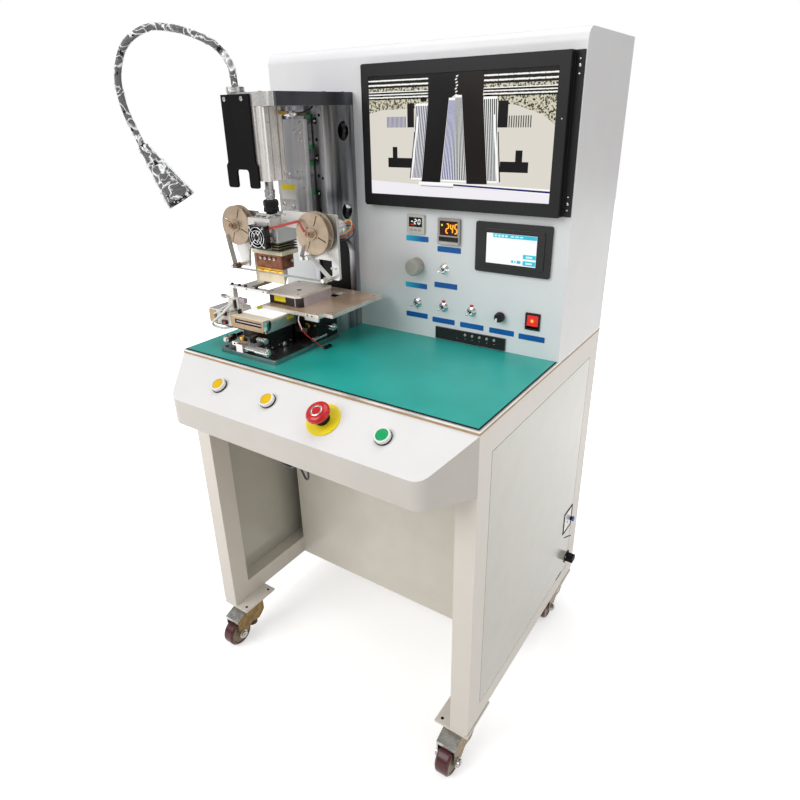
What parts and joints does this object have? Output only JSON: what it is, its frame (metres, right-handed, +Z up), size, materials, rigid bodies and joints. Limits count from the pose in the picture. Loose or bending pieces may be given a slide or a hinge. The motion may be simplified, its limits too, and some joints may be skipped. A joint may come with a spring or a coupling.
{
  "type": "film bonding machine",
  "caption": "Bench cabinet on levelling castors with a C-frame press head, air cylinder, tape reels, hot tip, micrometer stage, instrument panel and gooseneck lamp.",
  "frame": {"origin": "middle of the overall box, on the floor under the castor wheels", "axes": "+Z up, the operator stands at -Y, +X to the operator's right"},
  "size_m": [0.7698, 0.68, 1.4026],
  "materials": {
    "base_frame": "white powder coat",
    "cabinet_panels": "white powder coat",
    "console_apron": "white powder coat",
    "table_board": "painted edge",
    "esd_mat": "matte green",
    "upper_cabinet": "white powder coat",
    "monitor_case": "black",
    "hmi_panel": "dark grey-green",
    "panel_instruments": "black",
    "switch_mounts": "nickel",
    "button_bezels": "white",
    "head_column": "ground steel",
    "cylinder_body": "anodised",
    "front_bracket": "black",
    "stage_base": "ground steel",
    "press_slide": "ground",
    "piston_rod": "hard chromed",
    "head_bracket": "anodised",
    "heat_sink": "khaki anodised",
    "heat_shield": "cream insulating board",
    "heater_block": "copper brown",
    "bonding_tip": "polished",
    "fan_housing": "black",
    "fan_rotor": "black",
    "tape_reel_left": "tan anodised",
    "tape_reel_right": "tan anodised",
    "stage_slide_y": "black anodised",
    "stage_slide_x": "black anodised",
    "light_box": "cream",
    "side_fixture": "silver",
    "work_table": "anodised",
    "thimble": "satin chrome",
    "lamp_neck": "flexible hose",
    "lamp_head": "dark",
    "push_button_left": "yellow",
    "push_button_middle": "yellow",
    "push_button_right": "green",
    "estop_mushroom": "red",
    "toggle_lever": "chrome",
    "rocker_paddle": "red",
    "osd_key": "coloured",
    "regulator_knob": "white-grey",
    "dimmer_knob": "grey",
    "castor_fork": "zinc plated",
    "castor_wheel": "maroon"
  },
  "bodies": {
    "machine": {"base_frame": "base_frame", "cabinet_panels": "cabinet_panels", "console_apron": "console_apron", "table_board": "table_board", "esd_mat": "esd_mat", "upper_cabinet": "upper_cabinet", "monitor_case": "monitor_case", "hmi_panel": "hmi_panel", "panel_instruments": "panel_instruments", "switch_mounts": "switch_mounts", "button_bezels": "button_bezels", "head_column": "head_column", "cylinder_body": "cylinder_body", "front_bracket": "front_bracket", "stage_base": "stage_base"},
    "press_head": {"press_slide": "press_slide", "piston_rod": "piston_rod", "head_bracket": "head_bracket", "heat_sink": "heat_sink", "heat_shield": "heat_shield", "heater_block": "heater_block", "bonding_tip": "bonding_tip", "fan_housing": "fan_housing"},
    "fan_rotor": {"fan_rotor": "fan_rotor"},
    "tape_reel_left": {"tape_reel_left": "tape_reel_left"},
    "tape_reel_right": {"tape_reel_right": "tape_reel_right"},
    "stage_y": {"stage_slide_y": "stage_slide_y"},
    "stage_x": {"stage_slide_x": "stage_slide_x", "light_box": "light_box", "side_fixture": "side_fixture"},
    "work_table": {"work_table": "work_table"},
    "thimble_x": {"thimble_x": "thimble"},
    "thimble_y": {"thimble_y": "thimble"},
    "thimble_table": {"thimble_table": "thimble"},
    "lamp_neck": {"lamp_neck": "lamp_neck"},
    "lamp_head": {"lamp_head": "lamp_head"},
    "push_button_left": {"push_button_left": "push_button_left"},
    "push_button_middle": {"push_button_middle": "push_button_middle"},
    "push_button_right": {"push_button_right": "push_button_right"},
    "estop_mushroom": {"estop_mushroom": "estop_mushroom"},
    "toggle_lever_1": {"toggle_lever_1": "toggle_lever"},
    "toggle_lever_2": {"toggle_lever_2": "toggle_lever"},
    "toggle_lever_3": {"toggle_lever_3": "toggle_lever"},
    "toggle_lever_4": {"toggle_lever_4": "toggle_lever"},
    "rocker_paddle": {"rocker_paddle": "rocker_paddle"},
    "osd_key_1": {"osd_key_1": "osd_key"},
    "osd_key_2": {"osd_key_2": "osd_key"},
    "osd_key_3": {"osd_key_3": "osd_key"},
    "osd_key_4": {"osd_key_4": "osd_key"},
    "osd_key_5": {"osd_key_5": "osd_key"},
    "regulator_knob": {"regulator_knob": "regulator_knob"},
    "dimmer_knob": {"dimmer_knob": "dimmer_knob"},
    "castor_fork_front_left": {"castor_fork_front_left": "castor_fork"},
    "castor_wheel_front_left": {"castor_wheel_front_left": "castor_wheel"},
    "castor_fork_front_right": {"castor_fork_front_right": "castor_fork"},
    "castor_wheel_front_right": {"castor_wheel_front_right": "castor_wheel"},
    "castor_fork_rear_left": {"castor_fork_rear_left": "castor_fork"},
    "castor_wheel_rear_left": {"castor_wheel_rear_left": "castor_wheel"},
    "castor_fork_rear_right": {"castor_fork_rear_right": "castor_fork"},
    "castor_wheel_rear_right": {"castor_wheel_rear_right": "castor_wheel"}
  },
  "joints": [
    {"name": "press_stroke", "type": "slide", "parent": "machine", "child": "press_head", "axis": [0, 0, -1], "range_m": [0, 0.03]},
    {"name": "fan_spin", "type": "hinge", "parent": "press_head", "child": "fan_rotor", "pos_m": [-0.16311, -0.164, 1.036], "axis": [0, 1, 0], "continuous": true},
    {"name": "reel_left_spin", "type": "hinge", "parent": "press_head", "child": "tape_reel_left", "pos_m": [-0.23911, -0.144, 1.05], "axis": [0, 1, 0], "continuous": true},
    {"name": "reel_right_spin", "type": "hinge", "parent": "press_head", "child": "tape_reel_right", "pos_m": [-0.03811, -0.144, 1.05], "axis": [0, 1, 0], "continuous": true},
    {"name": "stage_y_slide", "type": "slide", "parent": "machine", "child": "stage_y", "axis": [0, 1, 0], "range_m": [-0.0065, 0.0065]},
    {"name": "stage_x_slide", "type": "slide", "parent": "stage_y", "child": "stage_x", "axis": [1, 0, 0], "range_m": [-0.0065, 0.0065]},
    {"name": "work_table_slide", "type": "slide", "parent": "machine", "child": "work_table", "axis": [1, 0, 0], "range_m": [-0.0045, 0.0045]},
    {"name": "thimble_x_spin", "type": "hinge", "parent": "stage_y", "child": "thimble_x", "pos_m": [-0.16811, -0.229, 0.8285], "axis": [1, 0, 0], "range_deg": [-4690, 4690]},
    {"name": "thimble_y_spin", "type": "hinge", "parent": "machine", "child": "thimble_y", "pos_m": [-0.24111, -0.167, 0.8265], "axis": [0, 1, 0], "range_deg": [-4690, 4690]},
    {"name": "thimble_table_spin", "type": "hinge", "parent": "machine", "child": "thimble_table", "pos_m": [-0.09511, -0.066, 0.841], "axis": [1, 0, 0], "range_deg": [-3250, 3250]},
    {"name": "lamp_pan", "type": "hinge", "parent": "machine", "child": "lamp_neck", "pos_m": [-0.20611, -0.143, 1.289], "axis": [0, 0, 1], "range_deg": [-60, 60]},
    {"name": "lamp_tilt", "type": "hinge", "parent": "lamp_neck", "child": "lamp_head", "pos_m": [-0.35882, -0.24921, 1.202], "axis": [0.571, -0.821, 0], "range_deg": [-30, 30]},
    {"name": "button_left_press", "type": "slide", "parent": "machine", "child": "push_button_left", "axis": [0, 0.5503, -0.835], "range_m": [0, 0.0035], "stiffness_N_per_m": 300, "springref_m": -0.001},
    {"name": "button_middle_press", "type": "slide", "parent": "machine", "child": "push_button_middle", "axis": [0, 0.5503, -0.835], "range_m": [0, 0.0035], "stiffness_N_per_m": 300, "springref_m": -0.001},
    {"name": "button_right_press", "type": "slide", "parent": "machine", "child": "push_button_right", "axis": [0, 0.5503, -0.835], "range_m": [0, 0.0035], "stiffness_N_per_m": 300, "springref_m": -0.001},
    {"name": "estop_press", "type": "slide", "parent": "machine", "child": "estop_mushroom", "axis": [0, 0.5503, -0.835], "range_m": [0, 0.005]},
    {"name": "toggle_1_tilt", "type": "hinge", "parent": "machine", "child": "toggle_lever_1", "pos_m": [0.04439, 0.07725, 0.874], "axis": [1, 0, 0], "range_deg": [-12, 12]},
    {"name": "toggle_2_tilt", "type": "hinge", "parent": "machine", "child": "toggle_lever_2", "pos_m": [0.10939, 0.07725, 0.954], "axis": [1, 0, 0], "range_deg": [-12, 12]},
    {"name": "toggle_3_tilt", "type": "hinge", "parent": "machine", "child": "toggle_lever_3", "pos_m": [0.10939, 0.07725, 0.874], "axis": [1, 0, 0], "range_deg": [-12, 12]},
    {"name": "toggle_4_tilt", "type": "hinge", "parent": "machine", "child": "toggle_lever_4", "pos_m": [0.17489, 0.07725, 0.874], "axis": [1, 0, 0], "range_deg": [-12, 12]},
    {"name": "rocker_tilt", "type": "hinge", "parent": "machine", "child": "rocker_paddle", "pos_m": [0.30739, 0.085, 0.8745], "axis": [1, 0, 0], "range_deg": [0, 20]},
    {"name": "key_1_press", "type": "slide", "parent": "machine", "child": "osd_key_1", "axis": [0, 1, 0], "range_m": [0, 0.0006], "stiffness_N_per_m": 400},
    {"name": "key_2_press", "type": "slide", "parent": "machine", "child": "osd_key_2", "axis": [0, 1, 0], "range_m": [0, 0.0006], "stiffness_N_per_m": 400},
    {"name": "key_3_press", "type": "slide", "parent": "machine", "child": "osd_key_3", "axis": [0, 1, 0], "range_m": [0, 0.0006], "stiffness_N_per_m": 400},
    {"name": "key_4_press", "type": "slide", "parent": "machine", "child": "osd_key_4", "axis": [0, 1, 0], "range_m": [0, 0.0006], "stiffness_N_per_m": 400},
    {"name": "key_5_press", "type": "slide", "parent": "machine", "child": "osd_key_5", "axis": [0, 1, 0], "range_m": [0, 0.0006], "stiffness_N_per_m": 400},
    {"name": "regulator_turn", "type": "hinge", "parent": "machine", "child": "regulator_knob", "pos_m": [0.04439, 0.079, 0.954], "axis": [0, 1, 0], "range_deg": [-720, 720]},
    {"name": "dimmer_turn", "type": "hinge", "parent": "machine", "child": "dimmer_knob", "pos_m": [0.23989, 0.079, 0.874], "axis": [0, 1, 0], "range_deg": [-135, 135]},
    {"name": "castor_swivel_front_left", "type": "hinge", "parent": "machine", "child": "castor_fork_front_left", "pos_m": [-0.29711, -0.209, 0.105], "axis": [0, 0, 1], "continuous": true},
    {"name": "castor_roll_front_left", "type": "hinge", "parent": "castor_fork_front_left", "child": "castor_wheel_front_left", "pos_m": [-0.29711, -0.259, 0.034], "axis": [1, 0, 0], "continuous": true},
    {"name": "castor_swivel_front_right", "type": "hinge", "parent": "machine", "child": "castor_fork_front_right", "pos_m": [0.32689, -0.209, 0.105], "axis": [0, 0, 1], "continuous": true},
    {"name": "castor_roll_front_right", "type": "hinge", "parent": "castor_fork_front_right", "child": "castor_wheel_front_right", "pos_m": [0.32689, -0.259, 0.034], "axis": [1, 0, 0], "continuous": true},
    {"name": "castor_swivel_rear_left", "type": "hinge", "parent": "machine", "child": "castor_fork_rear_left", "pos_m": [-0.29711, 0.308, 0.105], "axis": [0, 0, 1], "continuous": true},
    {"name": "castor_roll_rear_left", "type": "hinge", "parent": "castor_fork_rear_left", "child": "castor_wheel_rear_left", "pos_m": [-0.29711, 0.258, 0.034], "axis": [1, 0, 0], "continuous": true},
    {"name": "castor_swivel_rear_right", "type": "hinge", "parent": "machine", "child": "castor_fork_rear_right", "pos_m": [0.32689, 0.308, 0.105], "axis": [0, 0, 1], "continuous": true},
    {"name": "castor_roll_rear_right", "type": "hinge", "parent": "castor_fork_rear_right", "child": "castor_wheel_rear_right", "pos_m": [0.32689, 0.258, 0.034], "axis": [1, 0, 0], "continuous": true}
  ],
  "couplings": [
    {"joint": "reel_right_spin", "follows": "reel_left_spin", "ratio": 1},
    {"joint": "thimble_x_spin", "follows": "stage_x_slide", "rad_per_m": 12566},
    {"joint": "thimble_y_spin", "follows": "stage_y_slide", "rad_per_m": 12566},
    {"joint": "thimble_table_spin", "follows": "work_table_slide", "rad_per_m": 12566}
  ]
}
